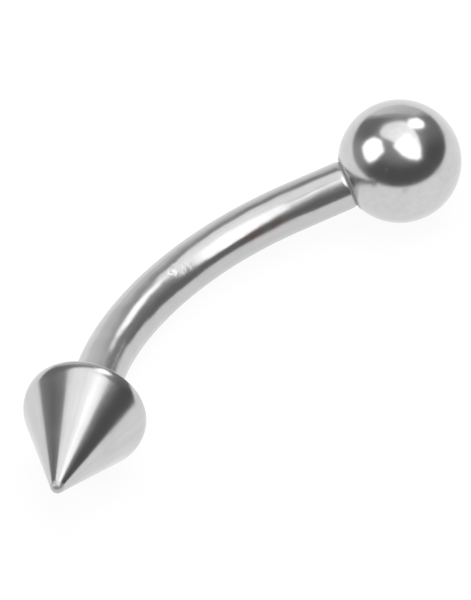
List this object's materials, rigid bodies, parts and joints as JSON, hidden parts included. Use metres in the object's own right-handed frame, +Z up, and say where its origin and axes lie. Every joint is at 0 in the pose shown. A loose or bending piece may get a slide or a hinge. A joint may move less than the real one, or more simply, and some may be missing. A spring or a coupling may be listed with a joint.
{
  "type": "eyebrow barbell",
  "caption": "Curved steel eyebrow barbell: a bent round bar with a ball screwed on one end and a blunt-tipped spike on the other.",
  "frame": {"origin": "middle of the bounding box of the piece as it lies at rest, on the surface that it lies on", "axes": "+X from the spike to the ball, +Y towards the bulge of the bend, +Z up; the bar's plane leans down towards +Y"},
  "size_m": [0.0148, 0.0042, 0.003],
  "materials": {
    "bar_steel": "mirror-polished surgical steel",
    "ball_steel": "mirror-polished surgical steel",
    "spike_steel": "mirror-polished surgical steel"
  },
  "bodies": {
    "bar": {"curved_bar": "bar_steel"},
    "ball_end": {"ball": "ball_steel"},
    "spike_end": {"spike": "spike_steel"}
  },
  "joints": [
    {"name": "ball_unscrew", "type": "slide", "parent": "bar", "child": "ball_end", "axis": [0.8796, -0.4325, 0.1981], "range_m": [0, 0.002]},
    {"name": "spike_unscrew", "type": "slide", "parent": "bar", "child": "spike_end", "axis": [-0.8232, -0.5162, 0.2364], "range_m": [0, 0.002]}
  ]
}
